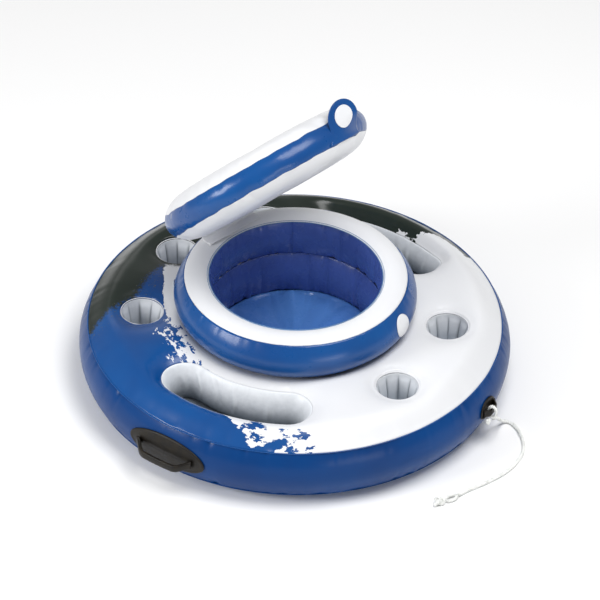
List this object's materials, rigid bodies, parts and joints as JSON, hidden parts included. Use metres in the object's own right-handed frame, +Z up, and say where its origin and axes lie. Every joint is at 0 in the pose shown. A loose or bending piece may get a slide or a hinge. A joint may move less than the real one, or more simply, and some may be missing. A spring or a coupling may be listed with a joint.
{
  "type": "inflatable floating cooler",
  "caption": "Round inflatable towable float with a lidded cooler in the middle, drink wells, arc pockets, moulded handles and a tow rope; the inflated lid hinges open.",
  "frame": {"origin": "middle of the flat underside, on the surface the float stands on", "axes": "+Z up; -Y to the tow fitting, the latch patch and the latch side of the lid"},
  "size_m": [0.9524, 0.9872, 0.6672],
  "materials": {
    "blue_vinyl": "glossy inflated vinyl",
    "liner_blue": "glossy vinyl with weld lines",
    "printed_vinyl": "white vinyl with a blue and dark grey splash print",
    "white_vinyl": "semi-gloss vinyl",
    "well_vinyl": "pleated pale vinyl",
    "web_vinyl": "thin clear vinyl",
    "black_moulding": "grained flexible moulding",
    "rope": "twisted cord",
    "valve_vinyl": "soft clear-white moulding"
  },
  "bodies": {
    "float": {"float_bottom_skin": "blue_vinyl", "float_side_wall": "blue_vinyl", "float_top_skin": "printed_vinyl", "cooler_liner_lower": "liner_blue", "cooler_floor": "liner_blue", "collar_outer_wall": "blue_vinyl", "collar_top_band": "white_vinyl", "cooler_liner_upper": "liner_blue", "latch_patch": "white_vinyl", "cup_sleeve_1": "well_vinyl", "cup_floor_1": "well_vinyl", "cup_sleeve_2": "well_vinyl", "cup_floor_2": "well_vinyl", "cup_sleeve_3": "well_vinyl", "cup_floor_3": "well_vinyl", "cup_sleeve_4": "well_vinyl", "cup_floor_4": "well_vinyl", "cup_sleeve_5": "well_vinyl", "cup_floor_5": "well_vinyl", "pocket_sleeve_1": "well_vinyl", "pocket_floor_1": "well_vinyl", "pocket_sleeve_2": "well_vinyl", "pocket_floor_2": "well_vinyl", "tow_plate": "black_moulding", "tow_grip": "black_moulding", "handle_left_plate": "black_moulding", "handle_left_grip": "black_moulding", "handle_right_plate": "black_moulding", "handle_right_grip": "black_moulding", "float_valve_body": "valve_vinyl", "collar_valve_body": "valve_vinyl", "hinge_strip_collar": "white_vinyl", "tow_rope": "rope", "rope_hitch": "rope", "rope_hitch_knot": "rope", "rope_eye": "rope", "rope_end_knot": "rope"},
    "lid": {"lid_bottom_skin": "white_vinyl", "lid_side_band": "blue_vinyl", "lid_top_skin": "white_vinyl", "lid_web_1": "web_vinyl", "lid_web_2": "web_vinyl", "lid_valve_body": "valve_vinyl", "hinge_strip_lid": "white_vinyl"},
    "latch": {"latch_tab": "blue_vinyl", "latch_disc": "white_vinyl"},
    "float_plug": {"float_valve_plug": "valve_vinyl"},
    "collar_plug": {"collar_valve_plug": "valve_vinyl"},
    "lid_plug": {"lid_valve_plug": "valve_vinyl"}
  },
  "joints": [
    {"name": "lid_hinge", "type": "hinge", "parent": "float", "child": "lid", "pos_m": [0.06674, 0.19383, 0.256], "axis": [-0.9455, 0.3256, 0], "range_deg": [-48.5, 50]},
    {"name": "latch_fold", "type": "hinge", "parent": "lid", "child": "latch", "pos_m": [0.04778, -0.08674, 0.59742], "axis": [0.9653, -0.1007, -0.2408], "range_deg": [0, 150]},
    {"name": "float_plug_pull", "type": "slide", "parent": "float", "child": "float_plug", "axis": [0.4695, 0.8829, 0], "range_m": [0, 0.012]},
    {"name": "collar_plug_pull", "type": "slide", "parent": "float", "child": "collar_plug", "axis": [-0.3247, 0.8921, -0.3142], "range_m": [0, 0.012]},
    {"name": "lid_plug_pull", "type": "slide", "parent": "lid", "child": "lid_plug", "axis": [0.258, 0.7494, 0.6098], "range_m": [0, 0.012]}
  ]
}
